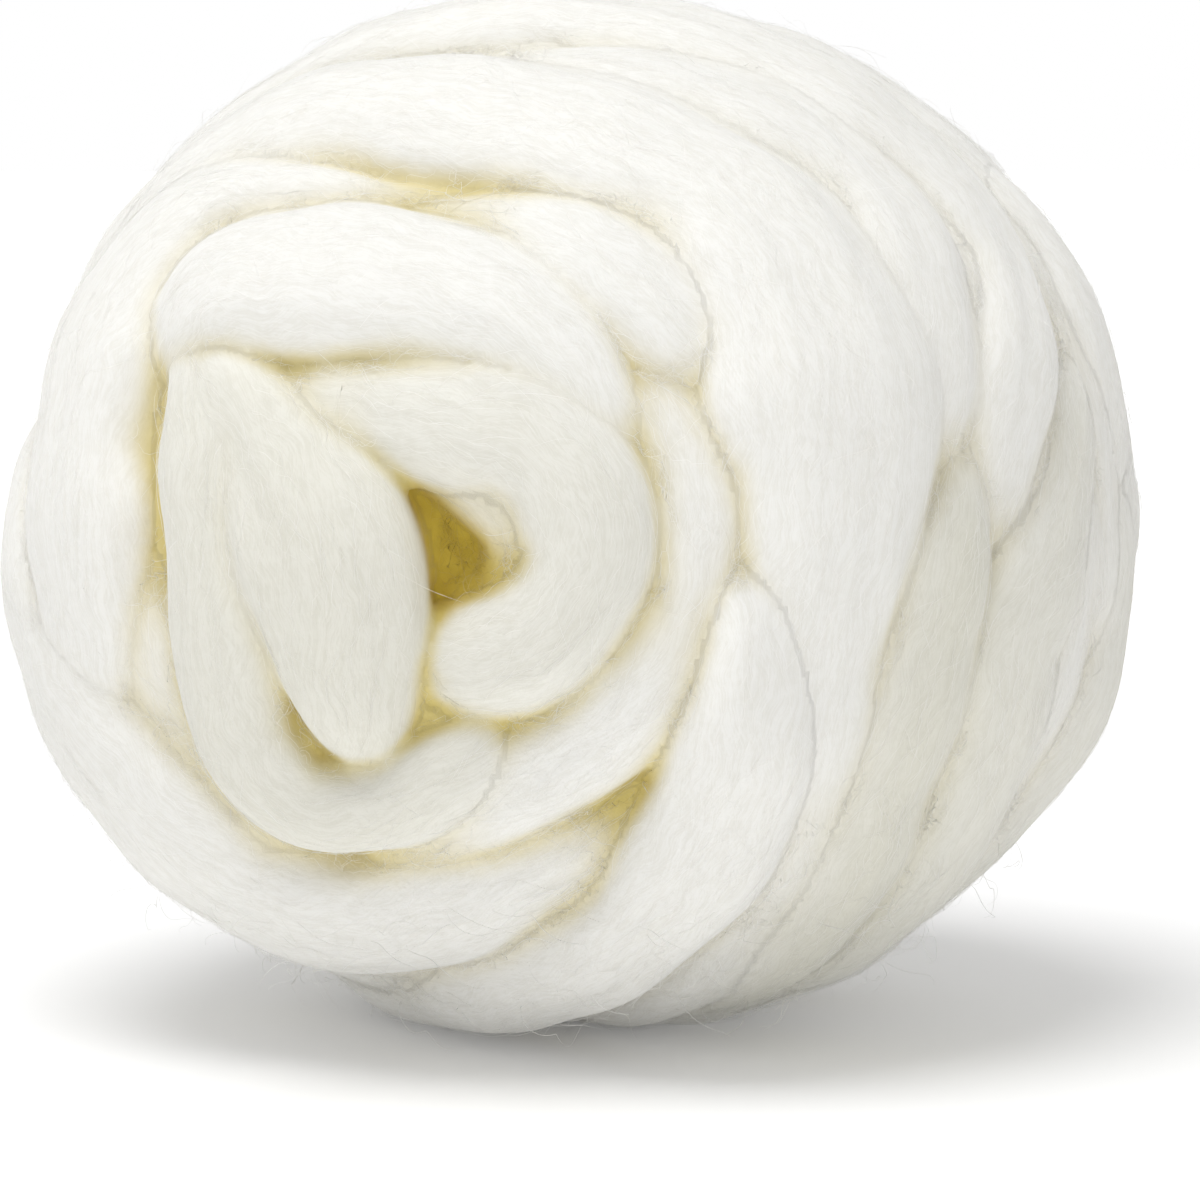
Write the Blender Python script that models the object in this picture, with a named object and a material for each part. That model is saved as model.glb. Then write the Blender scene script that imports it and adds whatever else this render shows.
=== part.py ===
"""Ball of wool roving, wound by hand from one long soft strand.

The ball is one closed soft body. Its strands run round an eye at the front, which stays open as a
small pit, lap over each other like leaves down the right side, and close to a rosette at the back.
Front is -Y, up is +Z, and the origin is in the middle of the flat spot that the ball rests on.
"""

import bpy
import numpy as np
from mathutils import Vector
from mathutils.bvhtree import BVHTree

MM = 0.001

# ---- The ball as a whole, in millimetres ----
BALL_WIDTH = 188.0
BALL_DEPTH = 174.0
BALL_HEIGHT = 175.0
FLAT_SPOT_SINK = 3.5        # how far the round form is pressed in where it rests

HALF_SIZE = np.array([BALL_WIDTH, BALL_DEPTH, BALL_HEIGHT]) / 2
CENTRE = np.array([-0.15, 0.8, BALL_HEIGHT / 2 - FLAT_SPOT_SINK])   # footprint centred

# ---- The strand ----
THICKNESS_SHARE = 0.86      # of a turn's width
THICKEST = 24.0
ROUNDNESS = 0.9             # below 1 the section is a little boxier than an ellipse
SECTION_STEP = 3.0          # between sections along a turn
POINTS_AROUND = 28

# ---- The eye of the winding ----
EYE_ACROSS = -17.0
EYE_UP = 80.0
PACKED_INSET = 17.0         # the packed inside lies this far under the surface

# ---- Where the tables' across and up are measured from ----
VIEW_DISTANCE = 800.0
VIEW_RISE = np.radians(5.0)
VIEW_POINT = CENTRE + VIEW_DISTANCE * np.array([0.0, -np.cos(VIEW_RISE), np.sin(VIEW_RISE)])
VIEW_UP = np.array([0.0, np.sin(VIEW_RISE), np.cos(VIEW_RISE)])

# ---- Turns that show at the front. A row is one section of the turn, in millimetres:
#      across and up: its middle as seen from the front, from the ball's middle and the ground
#      width:         of the turn there
#      lift:          of its crown above the ball's mean surface
FRONT_TURNS = {
    # across, up, width, lift
    "inner_left": (
        (-60, 111, 8, -6),
        (-55.5, 104, 14, -1),
        (-49, 96.5, 21, 0),
        (-44, 87, 26.5, 2),
        (-39.5, 76, 29, 3),
        (-37.5, 68, 28, 3),
        (-36.5, 60, 23.5, 2),
        (-35.5, 52, 18.5, 0),
        (-35.5, 46.5, 12, -8),
    ),
    "left_loop": (
        (-60, 113, 12, -6),
        (-58.5, 98, 19, -1),
        (-58.5, 80, 18.5, 0.5),
        (-56, 62, 20.5, 1),
        (-53, 47, 19, 1),
        (-43, 36.5, 16, 1),
        (-29.5, 36.5, 15.5, 0.5),
        (-18, 43, 13.5, -1),
        (-8.5, 49.5, 9, -7),
    ),
    "inner_curl": (
        (-51, 103, 7, -7),
        (-40, 102, 14, -3),
        (-30, 101, 18, -2),
        (-19, 99, 20, -1),
        (-8, 97, 21.5, 0),
        (0.5, 89, 21.5, 0),
        (3, 76.5, 20.5, 0),
        (-4.5, 64.5, 20, -1),
        (-16, 60, 19, -4),
        (-29, 60, 15, -12),
    ),
    "upper": (
        (-64, 103, 8, -11),
        (-62, 112, 17, -4),
        (-55, 120, 24, 0),
        (-45, 122, 27, 2),
        (-30, 122, 26, 2),
        (-13, 118, 21, 1),
        (-1, 110, 16, 0),
        (7, 99, 10, -3),
        (12, 89, 5, -9),
    ),
    "upper_lobe": (
        (-27, 133.5, 5, -6),
        (-12, 131.5, 12, -3),
        (2, 126, 18, 0),
        (15, 116, 22, -1),
        (24, 106, 19, -5),
        (30, 98, 14, -12),
    ),
    "crescent": (
        (4, 113, 4, -8),
        (13, 104, 12, -4),
        (19.5, 91, 16, -3),
        (20.5, 76, 16, -3),
        (16, 63, 18, -3),
        (6, 50, 19, -3),
        (-8, 41, 18, -3),
        (-23, 33, 15, -4),
        (-34, 30, 9, -8),
    ),
    "low_sweep": (
        (17, 46, 6, -11),
        (4, 33, 15, -5),
        (-13, 24, 21, -2),
        (-30, 19.5, 28, 0),
        (-47, 22.5, 33, 2),
        (-62.5, 33.5, 37, 3),
        (-75, 48, 38, 3),
        (-84, 67, 33, 1),
    ),
    "outer_left": (
        (-14, 134, 5, -7),
        (-29, 135, 8, -5),
        (-43, 136.5, 12, -3),
        (-56, 134.5, 18, -1),
        (-65.5, 126, 26, 0),
        (-73, 112, 33, 0),
        (-77.5, 94.5, 35.5, 0),
        (-77.5, 77, 35, 0),
        (-73.5, 60, 30, -2),
        (-67, 47, 22, -5),
        (-58, 35, 14, -10),
    ),
    "left_floor": (
        (-66, 120, 14, -9),
        (-69.5, 100, 17, -9),
        (-68.5, 82, 18, -8.5),
        (-65, 64, 24, -5.5),
        (-56, 47, 24, -4),
        (-43, 32, 20, -6),
        (-28, 26, 14, -9),
    ),
    "broad": (
        (-74, 119.5, 22, -4),
        (-62, 133.5, 25, -2),
        (-47.5, 144.5, 26.5, -1),
        (-32, 148.5, 28, 0),
        (-14, 147, 29.5, 0),
        (6, 142, 31, 0),
        (25, 132, 34, 1),
        (37, 115, 38, 2),
        (42, 95, 39, 2),
        (41, 75, 29, 1),
        (38.5, 56, 22, 0),
        (35.5, 38, 20, -2),
        (30, 23, 19, -3),
        (21, 11, 19, -2),
    ),
    "second": (
        (-20, 156.5, 6, -6),
        (2, 155, 15, -2),
        (21, 150, 21, -1),
        (37, 142, 25, -1),
        (48, 132, 27, -1),
        (54, 119.5, 26, -1),
        (56, 106, 23, -2),
        (54.5, 93, 17, -5),
        (51, 81, 11, -10),
    ),
    "top": (
        (-60, 140, 20, -2),
        (-43, 152.5, 22, -1),
        (-24, 159.5, 23, 0),
        (-2, 162, 24, 1),
        (19, 159, 25, 1),
        (40, 150.5, 26, 1),
        (56, 138.5, 26, 0),
        (66, 125, 25, -1),
        (70, 111.5, 24, -1),
        (69, 100, 22.5, -2),
        (67.5, 89, 18.5, -4),
        (65.5, 79, 13, -6.5),
        (63.5, 70, 8, -9),
        (62, 62, 5, -12),
    ),
    "leaf_middle": (
        (62, 99, 6, -8),
        (62.5, 88, 13, -3.5),
        (60.5, 76, 19, -1),
        (56.5, 63, 22, -1),
        (53, 50, 23, -1),
        (48.5, 38, 24, -1),
        (43, 26, 25, -1),
        (33, 15, 24, -1),
        (24, 8, 20, -2),
    ),
    "leaf_low": (
        (77, 117, 9, -8),
        (79, 103, 17, -3.5),
        (78.5, 89, 22, -2),
        (74.5, 75, 26, -1.5),
        (69.5, 63, 28.5, -1),
        (67.5, 51, 28, -1),
        (64, 40, 27, 0),
        (57, 28, 25, 0),
    ),
    "outer_right": (
        (56, 148, 9, -5),
        (70, 135, 19, 0.5),
        (80, 120, 23, 1),
        (86, 103, 22, 0.5),
        (88.5, 86, 17, -3),
        (88, 70, 11, -9),
    ),
    "rim_right": (
        (86, 102, 9, -6),
        (88.5, 84, 17, -1),
        (86.5, 66, 20, 1),
        (80.5, 49, 21, 2),
        (71.5, 35, 20, 0),
    ),
    "front_right": (
        (28.5, 80, 4, -7),
        (30, 68, 12, 0),
        (29.5, 53, 19, 3),
        (26, 38, 24, 3),
        (18, 24, 25, 3),
        (7, 14, 23, 2),
        (-7, 8, 22, 1),
        (-22, 7, 22, 0),
    ),
    "eye_lining": (
        (-26, 96, 9, -10),
        (-15, 91, 14, -5.5),
        (-7.5, 84.5, 16, -4.5),
        (-6.5, 77, 15, -6),
        (-11, 70.5, 12, -9),
        (-20, 68, 10, -12),
    ),
    "under_curl": (
        (-38, 57, 10, -13),
        (-28, 53.5, 16, -8.5),
        (-17, 52, 16, -7.5),
        (-6, 51, 11, -11),
    ),
    "eye_floor": (
        (-32, 93, 8, -14),
        (-26, 86, 13, -12),
        (-19, 78, 16, -12),
        (-12, 71, 14, -12),
        (-6, 65, 8, -14),
    ),
}

# ---- Turns that go on out of sight, in degrees: before their first row, past their last row ----
RUN_ON = {
    "low_sweep": (0, 60),
    "broad": (75, 60),
    "top": (60, 0),
    "leaf_middle": (0, 62),
    "leaf_low": (0, 62),
    "rim_right": (0, 70),
    "front_right": (0, 58),
}
RUN_ON_ROWS = 6
RUN_ON_SINK = 8.0           # of the crown by the far end
RUN_ON_WIDTH = 26.0         # that the turn widens or narrows to

# ---- Turns round the winding axis that the front hides, wholly or in part. Angles in degrees:
#      polar:   from the eye, at the start and at the end of the turn
#      azimuth: of the start, clockwise from the left as seen from the front
#      sweep:   clockwise round the axis
#      width and lift as above
HIDDEN_TURNS = {
    # polar_from, polar_to, azimuth, sweep, width, lift
    "under_front": (26, 60, 20, 900, 32, -9),
    "under_rim": (58, 82, 200, 800, 33, -5),
    "side_coil": (76, 112, 75, 940, 33, -4),
    "back_coil": (110, 150, 250, 760, 32, -4),
    "back_rosette": (146, 176, 40, 760, 27, -2),
    "back_core": (171, 178, 120, 300, 15, -4),
    "side_leaf_1": (88, 103, 50, 150, 26, -1.5),
    "side_leaf_2": (104, 90, 160, 140, 26, 0),
    "side_leaf_3": (88, 104, 215, 150, 26, -1),
    "side_leaf_4": (112, 96, 290, 160, 28, 0),
    "side_leaf_5": (118, 104, 20, 160, 27, 1),
    "side_leaf_6": (104, 122, 128, 170, 28, 1),
    "side_leaf_7": (106, 124, 262, 150, 27, 0),
    "back_leaf_1": (134, 118, 10, 190, 28, 1),
    "back_leaf_2": (122, 140, 170, 200, 27, 1),
    "back_leaf_3": (140, 124, 300, 170, 27, 0),
    "back_leaf_4": (138, 156, 80, 230, 26, 1),
    "back_leaf_5": (156, 142, 250, 210, 25, 1),
}
HIDDEN_STEP = 15.0          # degrees of sweep between sections
END_SHARE = 0.14            # of a hidden turn, at each end, over which it narrows and sinks
END_SINK = 9.0
WAVE_LIFT = 1.2
WAVE_WIDTH = 0.10

# ---- The shell cast over the turns ----
SHELL_SUBDIVISIONS = 7
SOFTENING_PASSES = 4
TRIANGLES = 11000
WOOL_COLOUR = (0.93, 0.92, 0.86, 1.0)


def unit(vectors):
    return vectors / np.linalg.norm(vectors, axis=-1)[..., None]


def on_shell(points, inset):
    """Points moved along their rays from the centre onto the ball's form, inset by a distance."""
    half = HALF_SIZE - np.asarray(inset)[..., None]
    ray = (points - CENTRE) / half
    return CENTRE + ray / np.linalg.norm(ray, axis=-1)[..., None] * half


def seen_from_front(across, up, inset):
    """Points of the inset form that are seen at (across, up) from the view point."""
    half = HALF_SIZE - inset[:, None]
    target = CENTRE + np.outer(across, (1, 0, 0)) + np.outer(up - CENTRE[2], VIEW_UP)
    ray = target - VIEW_POINT
    ray /= np.linalg.norm(ray, axis=1)[:, None]
    start = (VIEW_POINT - CENTRE) / half
    slope = ray / half
    a = (slope * slope).sum(axis=1)
    b = (slope * start).sum(axis=1)
    c = (start * start).sum(axis=1) - 1
    reach = (-b - np.sqrt(np.maximum(b * b - a * c, 0))) / a
    return on_shell(VIEW_POINT + ray * reach[:, None], inset)


def thickness(width):
    """A share of the width, levelling off towards the thickest that a turn gets."""
    free = width * THICKNESS_SHARE
    return free / (1 + (free / THICKEST) ** 3) ** (1 / 3)


def centre_inset(width, lift):
    """Depth of a section's middle under the surface, from its thickness and its crown's lift."""
    return thickness(width) / 2 - lift


def run_on(sections, degrees):
    """Sections that carry a turn on round the ball from its last section, sinking as they go."""
    before, last = unit((sections[-2:, :3] - CENTRE) / HALF_SIZE)
    side = np.cross(unit(np.cross(before, last)), last)
    share = np.arange(1, RUN_ON_ROWS + 1) / RUN_ON_ROWS
    angle = np.radians(degrees) * share
    ray = np.outer(np.cos(angle), last) + np.outer(np.sin(angle), side)
    width = sections[-1, 3] + (RUN_ON_WIDTH - sections[-1, 3]) * np.sin(share * np.pi)
    lift = sections[-1, 4] - RUN_ON_SINK * share ** 2
    middle = on_shell(CENTRE + ray * HALF_SIZE, centre_inset(width, lift))
    return np.column_stack([middle, width, lift])


def front_turn(rows, before=0, after=0):
    """Sections (x, y, z, width, lift) of a turn given by a table seen from the front."""
    across, up, width, lift = np.array(rows, float).T
    middle = seen_from_front(across, up, centre_inset(width, lift))
    sections = np.column_stack([middle, width, lift])
    if before:
        sections = np.vstack([run_on(sections[::-1], before)[::-1], sections])
    if after:
        sections = np.vstack([sections, run_on(sections, after)])
    return sections


def winding_axes():
    """Unit vectors: from the centre to the eye, then square to it, to the left and up."""
    inset = np.array([PACKED_INSET])
    eye = seen_from_front(np.array([EYE_ACROSS]), np.array([EYE_UP]), inset)[0] - CENTRE
    eye /= np.linalg.norm(eye)
    left = np.cross(eye, (0, 0, 1))
    left /= np.linalg.norm(left)
    return eye, left, np.cross(left, eye)


def hidden_turn(polar_from, polar_to, azimuth, sweep, width, lift):
    """Sections of a turn laid round the winding axis, tucked in at both ends."""
    eye, left, up = winding_axes()
    count = int(abs(sweep) / HIDDEN_STEP) + 1
    share = np.linspace(0, 1, count)
    polar = np.radians(polar_from + (polar_to - polar_from) * share)
    round_axis = np.radians(azimuth + sweep * share)
    ray = np.outer(np.cos(polar), eye)
    ray += np.outer(np.sin(polar) * np.cos(round_axis), left)
    ray += np.outer(np.sin(polar) * np.sin(round_axis), up)
    to_end = np.minimum(share, 1 - share) / min(END_SHARE, 90.0 / abs(sweep))
    full = np.sin(np.clip(to_end, 0, 1) * np.pi / 2)
    wave = np.sin(1.7 * round_axis + polar_from)
    widths = width * (0.35 + 0.65 * full) * (1 + WAVE_WIDTH * wave)
    lifts = lift - END_SINK * (1 - full) ** 1.5 + WAVE_LIFT * np.sin(2.3 * round_axis + polar_to)
    middle = on_shell(CENTRE + ray * HALF_SIZE, centre_inset(widths, lifts))
    return np.column_stack([middle, widths, lifts])


def spline(rows, step):
    """The rows joined by a smooth curve and read off again at an even step."""
    gaps = np.linalg.norm(np.diff(rows[:, :3], axis=0), axis=1)
    knots = np.concatenate([[0], np.cumsum(gaps)])
    slopes = np.empty_like(rows)
    slopes[1:-1] = (rows[2:] - rows[:-2]) / (knots[2:] - knots[:-2])[:, None]
    slopes[0] = (rows[1] - rows[0]) / gaps[0]
    slopes[-1] = (rows[-1] - rows[-2]) / gaps[-1]
    at = np.linspace(0, knots[-1], max(int(knots[-1] / step), 8) + 1)
    i = np.clip(np.searchsorted(knots, at, side="right") - 1, 0, len(gaps) - 1)
    h = gaps[i][:, None]
    s = (at - knots[i])[:, None] / h
    start = (2 * s ** 3 - 3 * s ** 2 + 1) * rows[i] + (s ** 3 - 2 * s ** 2 + s) * h * slopes[i]
    end = (3 * s ** 2 - 2 * s ** 3) * rows[i + 1] + (s ** 3 - s ** 2) * h * slopes[i + 1]
    return start + end


def end_rounding(along, length, reach):
    """1 along a turn, falling to a rounded tip over the given reach at each end."""
    to_tip = np.clip(np.minimum(along, length - along) / reach, 0, 1)
    return np.maximum(np.sqrt(1 - (1 - to_tip) ** 2), 0.03)


def turn_surface(rows):
    """Grid of points (section, around) on a turn's surface."""
    path = spline(rows, SECTION_STEP)
    width, lift = path[:, 3], path[:, 4]
    middle = on_shell(path[:, :3], centre_inset(width, lift))
    along = unit(np.gradient(middle, axis=0))
    sideways = unit(np.cross(along, (middle - CENTRE) / HALF_SIZE ** 2))
    outward = np.cross(sideways, along)
    steps = np.linalg.norm(np.diff(middle, axis=0), axis=1)
    distance = np.concatenate([[0], np.cumsum(steps)])
    rounding = end_rounding(distance, distance[-1], width / 2)
    angle = np.linspace(0, 2 * np.pi, POINTS_AROUND, endpoint=False)
    flat = np.sign(np.cos(angle)) * np.abs(np.cos(angle)) ** ROUNDNESS
    tall = np.sign(np.sin(angle)) * np.abs(np.sin(angle)) ** ROUNDNESS
    half_width = (width / 2 * rounding)[:, None, None]
    half_height = (thickness(width) / 2 * rounding)[:, None, None]
    return (middle[:, None, :]
            + sideways[:, None, :] * half_width * flat[None, :, None]
            + outward[:, None, :] * half_height * tall[None, :, None])


def loft_faces(sections, around, first):
    """Quads between neighbouring sections, and one face to close each end."""
    faces = []
    for i in range(sections - 1):
        for j in range(around):
            k = (j + 1) % around
            a = first + i * around
            faces.append((a + j, a + k, a + around + k, a + around + j))
    faces.append(tuple(first + j for j in reversed(range(around))))
    last = first + (sections - 1) * around
    faces.append(tuple(last + j for j in range(around)))
    return faces


def all_turns():
    turns = {}
    for name, rows in FRONT_TURNS.items():
        turns[name] = front_turn(rows, *RUN_ON.get(name, (0, 0)))
    for name, row in HIDDEN_TURNS.items():
        turns[name] = hidden_turn(*row)
    return turns


def make_wound_guide(collection):
    """Every turn as a lofted tube, in one guide mesh."""
    points = []
    faces = []
    for rows in all_turns().values():
        grid = turn_surface(rows)
        faces += loft_faces(grid.shape[0], grid.shape[1], len(points))
        points += (grid.reshape(-1, 3) * MM).tolist()
    mesh = bpy.data.meshes.new("wound_guide")
    mesh.from_pydata(points, [], faces)
    guide = bpy.data.objects.new("wound_guide", mesh)
    collection.objects.link(guide)
    guide.hide_render = True
    guide.display_type = "WIRE"
    return guide


def cast_shell(guide):
    """A sphere whose points are moved in along their rays until they lie on the turns."""
    tree = BVHTree.FromObject(guide, bpy.context.evaluated_depsgraph_get())
    bpy.ops.mesh.primitive_ico_sphere_add(subdivisions=SHELL_SUBDIVISIONS, radius=1.0)
    ball = bpy.context.active_object
    mesh = ball.data
    rays = np.empty(len(mesh.vertices) * 3)
    mesh.vertices.foreach_get("co", rays)
    rays = unit(rays.reshape(-1, 3) * HALF_SIZE)
    centre = Vector(CENTRE * MM)
    reach = 1.5 * max(HALF_SIZE) * MM
    inside = on_shell(CENTRE + rays, np.full(len(rays), PACKED_INSET)) * MM
    points = inside.copy()
    for i, ray in enumerate(rays):
        direction = Vector(ray)
        hit = tree.ray_cast(centre + direction * reach, -direction, reach)[0]
        if hit is not None and (hit - centre).length > np.linalg.norm(inside[i] - CENTRE * MM):
            points[i] = hit
    mesh.vertices.foreach_set("co", points.ravel())
    mesh.update()
    return ball


def press_flat(mesh, margin=0.0):
    """Points under the ground, or within a margin above it, are moved onto it."""
    for vertex in mesh.vertices:
        if vertex.co.z < margin:
            vertex.co.z = 0.0
    mesh.update()


def soften(ball):
    """Take the steps out of the creases, then thin the mesh to its budget."""
    smooth = ball.modifiers.new("soft_creases", "SMOOTH")
    smooth.factor = 0.5
    smooth.iterations = SOFTENING_PASSES
    thin = ball.modifiers.new("budget", "DECIMATE")
    thin.ratio = TRIANGLES / len(ball.data.polygons)


def wool_material():
    material = bpy.data.materials.new("wool")
    material.use_nodes = True
    shader = material.node_tree.nodes["Principled BSDF"]
    shader.inputs["Base Color"].default_value = WOOL_COLOUR
    shader.inputs["Roughness"].default_value = 0.9
    shader.inputs["Metallic"].default_value = 0.0
    return material


def new_collection(name):
    collection = bpy.data.collections.new(name)
    bpy.context.scene.collection.children.link(collection)
    return collection


def build():
    for old in list(bpy.data.objects):
        bpy.data.objects.remove(old, do_unlink=True)
    parts = new_collection("wool_roving")
    guides = new_collection("guides")

    guide = make_wound_guide(guides)
    shell = cast_shell(guide)
    press_flat(shell.data)
    soften(shell)
    bpy.context.view_layer.update()
    evaluated = shell.evaluated_get(bpy.context.evaluated_depsgraph_get())
    mesh = bpy.data.meshes.new_from_object(evaluated)
    bpy.data.objects.remove(shell, do_unlink=True)
    mesh.name = "roving_ball"
    press_flat(mesh, 0.25 * MM)
    mesh.materials.clear()
    mesh.materials.append(wool_material())
    mesh.shade_smooth()
    ball = bpy.data.objects.new("roving_ball", mesh)
    parts.objects.link(ball)


build()
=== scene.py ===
"""Looks of the ball of wool roving.

Every turn of the winding is a soft strand of its own, with the long low ridges that its bundles of
fibre make, and the ball carries loose fibres: along the strands, across the creases between them,
standing off the surface, and curled round the underside. Places are in millimetres, in the frame of
the solid: front is -Y, up is +Z, and the origin is in the middle of the flat spot.
"""

import bpy
import numpy as np
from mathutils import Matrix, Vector
from mathutils.bvhtree import BVHTree
from mathutils.kdtree import KDTree


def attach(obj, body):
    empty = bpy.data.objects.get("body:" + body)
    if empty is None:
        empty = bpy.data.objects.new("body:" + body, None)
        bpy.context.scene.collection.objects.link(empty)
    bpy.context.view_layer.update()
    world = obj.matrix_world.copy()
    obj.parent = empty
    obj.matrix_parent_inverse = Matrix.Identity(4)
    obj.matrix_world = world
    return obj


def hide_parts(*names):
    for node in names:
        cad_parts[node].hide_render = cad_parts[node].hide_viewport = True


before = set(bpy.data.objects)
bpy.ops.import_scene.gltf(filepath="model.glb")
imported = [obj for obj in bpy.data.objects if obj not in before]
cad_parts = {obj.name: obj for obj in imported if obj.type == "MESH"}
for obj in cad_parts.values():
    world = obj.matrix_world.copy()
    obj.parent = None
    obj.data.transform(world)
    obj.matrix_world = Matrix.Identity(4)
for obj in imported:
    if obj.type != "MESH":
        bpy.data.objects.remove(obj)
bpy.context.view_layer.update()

MM = 0.001

# ---- The ball as a whole, in millimetres ----
BALL_WIDTH = 188.0
BALL_DEPTH = 174.0
BALL_HEIGHT = 175.0
FLAT_SPOT_SINK = 3.5        # how far the round form is pressed in where it rests

HALF_SIZE = np.array([BALL_WIDTH, BALL_DEPTH, BALL_HEIGHT]) / 2
CENTRE = np.array([-0.15, 0.8, BALL_HEIGHT / 2 - FLAT_SPOT_SINK])   # footprint centred

# ---- The strand ----
THICKNESS_SHARE = 0.86      # of a turn's width
THICKEST = 24.0
ROUNDNESS = 0.9             # below 1 the section is a little boxier than an ellipse

# ---- The eye of the winding ----
EYE_ACROSS = -17.0
EYE_UP = 80.0
PACKED_INSET = 17.0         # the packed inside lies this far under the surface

# ---- Where the tables' across and up are measured from ----
VIEW_DISTANCE = 800.0
VIEW_RISE = np.radians(5.0)
VIEW_POINT = CENTRE + VIEW_DISTANCE * np.array([0.0, -np.cos(VIEW_RISE), np.sin(VIEW_RISE)])
VIEW_UP = np.array([0.0, np.sin(VIEW_RISE), np.cos(VIEW_RISE)])

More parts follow.
